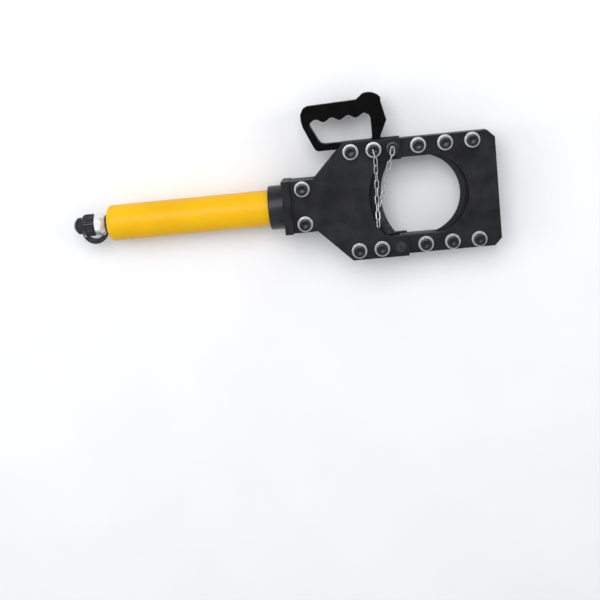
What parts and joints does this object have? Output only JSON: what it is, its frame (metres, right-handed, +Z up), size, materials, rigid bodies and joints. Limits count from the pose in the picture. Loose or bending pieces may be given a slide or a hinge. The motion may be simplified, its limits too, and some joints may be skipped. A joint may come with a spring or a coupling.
{
  "type": "rescue cutter",
  "caption": "Hydraulic guillotine cable cutter head: slim cylinder, square head with a swing-open latched yoke, two shearing blades, carry handle and capped coupler.",
  "frame": {"origin": "centre of the bounding box, on the plane that the tool lies on", "axes": "+X along the cylinder towards the yoke, +Y towards the carry handle, +Z up out of the front plates"},
  "size_m": [0.6635, 0.253, 0.084],
  "materials": {
    "barrel_paint": "gloss",
    "black_steel": "satin",
    "block_black": "satin",
    "collar_black": "satin",
    "handle_black": "satin",
    "blade_steel": "ground",
    "bright_zinc": "bright plated",
    "screw_black": "black oxide",
    "pin_steel": "satin",
    "polished_steel": "polished",
    "coupler_plate": "bright plated",
    "cap_black": "satin",
    "rubber_black": "matt",
    "bronze": "machined",
    "seal_blue": "satin",
    "guide_band": "satin",
    "spring_steel": "oiled",
    "machined_steel": "turned"
  },
  "bodies": {
    "head": {"cylinder_barrel": "barrel_paint", "barrel_collar": "collar_black", "head_block": "block_black", "rod_gland": "machined_steel", "rod_bush": "bronze", "rod_wiper": "rubber_black", "rear_plate_front": "black_steel", "rear_plate_back": "black_steel", "upper_guide_bar": "black_steel", "lower_guide_bar": "black_steel", "guide_dowels": "polished_steel", "carry_handle": "handle_black", "head_screws": "screw_black", "head_washers": "bright_zinc", "head_nuts": "screw_black", "hinge_pin": "pin_steel", "hinge_pin_clip": "pin_steel", "coupler_body": "coupler_plate", "coupler_ball": "polished_steel", "coupler_ball_spring": "spring_steel", "port_washer": "bronze", "cap_strap": "rubber_black", "chain": "bright_zinc", "chain_staple": "bright_zinc", "return_spring": "spring_steel"},
    "ram": {"piston": "machined_steel", "piston_seal": "seal_blue", "piston_wear_ring": "guide_band", "piston_clip": "pin_steel", "piston_rod": "polished_steel", "blade_carrier": "machined_steel", "carrier_pin": "polished_steel", "blade_screws": "screw_black", "moving_blade": "blade_steel"},
    "yoke": {"yoke_plate_front": "black_steel", "yoke_plate_back": "black_steel", "yoke_spacer": "black_steel", "fixed_blade": "blade_steel", "yoke_screws": "screw_black", "yoke_washers": "bright_zinc", "yoke_nuts": "screw_black"},
    "lock_pin": {"lock_pin": "pin_steel", "lock_pin_post": "polished_steel"},
    "dust_cap": {"dust_cap": "cap_black"}
  },
  "joints": [
    {"name": "ram_slide", "type": "slide", "parent": "head", "child": "ram", "axis": [1, 0, 0], "range_m": [0, 0.125], "stiffness_N_per_m": 2000, "springref_m": -0.05, "deforming": ["return_spring"]},
    {"name": "yoke_swing", "type": "hinge", "parent": "head", "child": "yoke", "pos_m": [0.17625, -0.11195, 0.0405], "axis": [0, 0, -1], "range_deg": [0, 90]},
    {"name": "lock_pin_pull", "type": "slide", "parent": "head", "child": "lock_pin", "axis": [0, 0, 1], "range_m": [0, 0.06], "deforming": ["chain"]},
    {"name": "dust_cap_pull", "type": "slide", "parent": "head", "child": "dust_cap", "axis": [-1, 0, 0], "range_m": [0, 0.03], "deforming": ["cap_strap"]}
  ]
}
